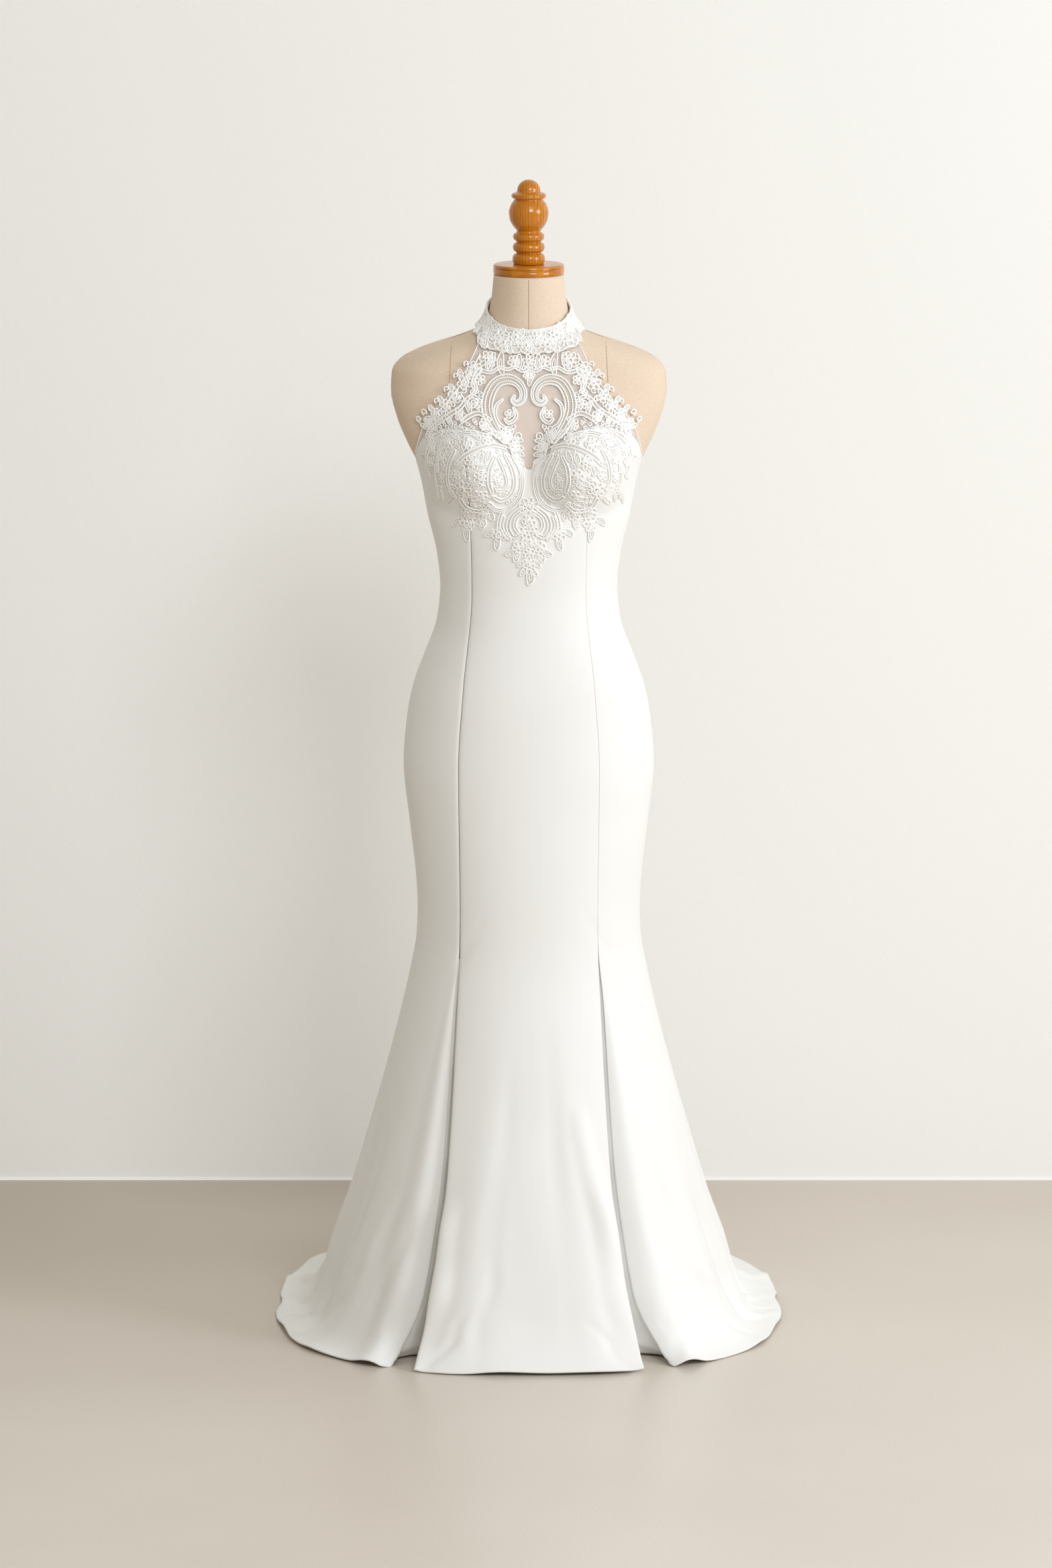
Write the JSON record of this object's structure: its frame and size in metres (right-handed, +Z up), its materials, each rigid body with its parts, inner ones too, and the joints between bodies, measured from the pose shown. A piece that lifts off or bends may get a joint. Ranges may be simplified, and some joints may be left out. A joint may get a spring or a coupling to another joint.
{
  "type": "mermaid dress on a limbless dress form",
  "caption": "Floor-length mermaid dress with a corded-lace halter yoke, sweetheart bodice, front godets and short train, on a linen dress form with turned finial.",
  "frame": {"origin": "on the floor, on the axis of the stand's pole", "axes": "+Z up, the front of the dress faces -Y, +X is the viewer's right when facing the front"},
  "size_m": [0.7062, 0.8937, 1.6031],
  "materials": {
    "crepe": "smooth matt crepe",
    "lace": "corded lace",
    "net": "sheer net",
    "linen": "plain woven linen cover",
    "wood": "clear gloss lacquer",
    "metal": "satin black"
  },
  "bodies": {
    "root": {"front_centre": "crepe", "side_front_right": "crepe", "side_front_left": "crepe", "side_back_right": "crepe", "side_back_left": "crepe", "back_right": "crepe", "back_left": "crepe", "godet_right": "crepe", "godet_left": "crepe", "back_button_01": "crepe", "back_button_02": "crepe", "back_button_03": "crepe", "back_button_04": "crepe", "back_button_05": "crepe", "back_button_06": "crepe", "back_button_07": "crepe", "back_button_08": "crepe", "back_button_09": "crepe", "back_button_10": "crepe", "collar_button_1": "crepe", "collar_button_2": "crepe", "lace_yoke": "lace", "lace_bodice": "lace", "collar": "lace", "yoke_net": "net", "form_torso": "linen", "neck_cap": "wood", "finial": "wood", "stand_pole": "metal", "stand_base": "metal"}
  },
  "joints": []
}
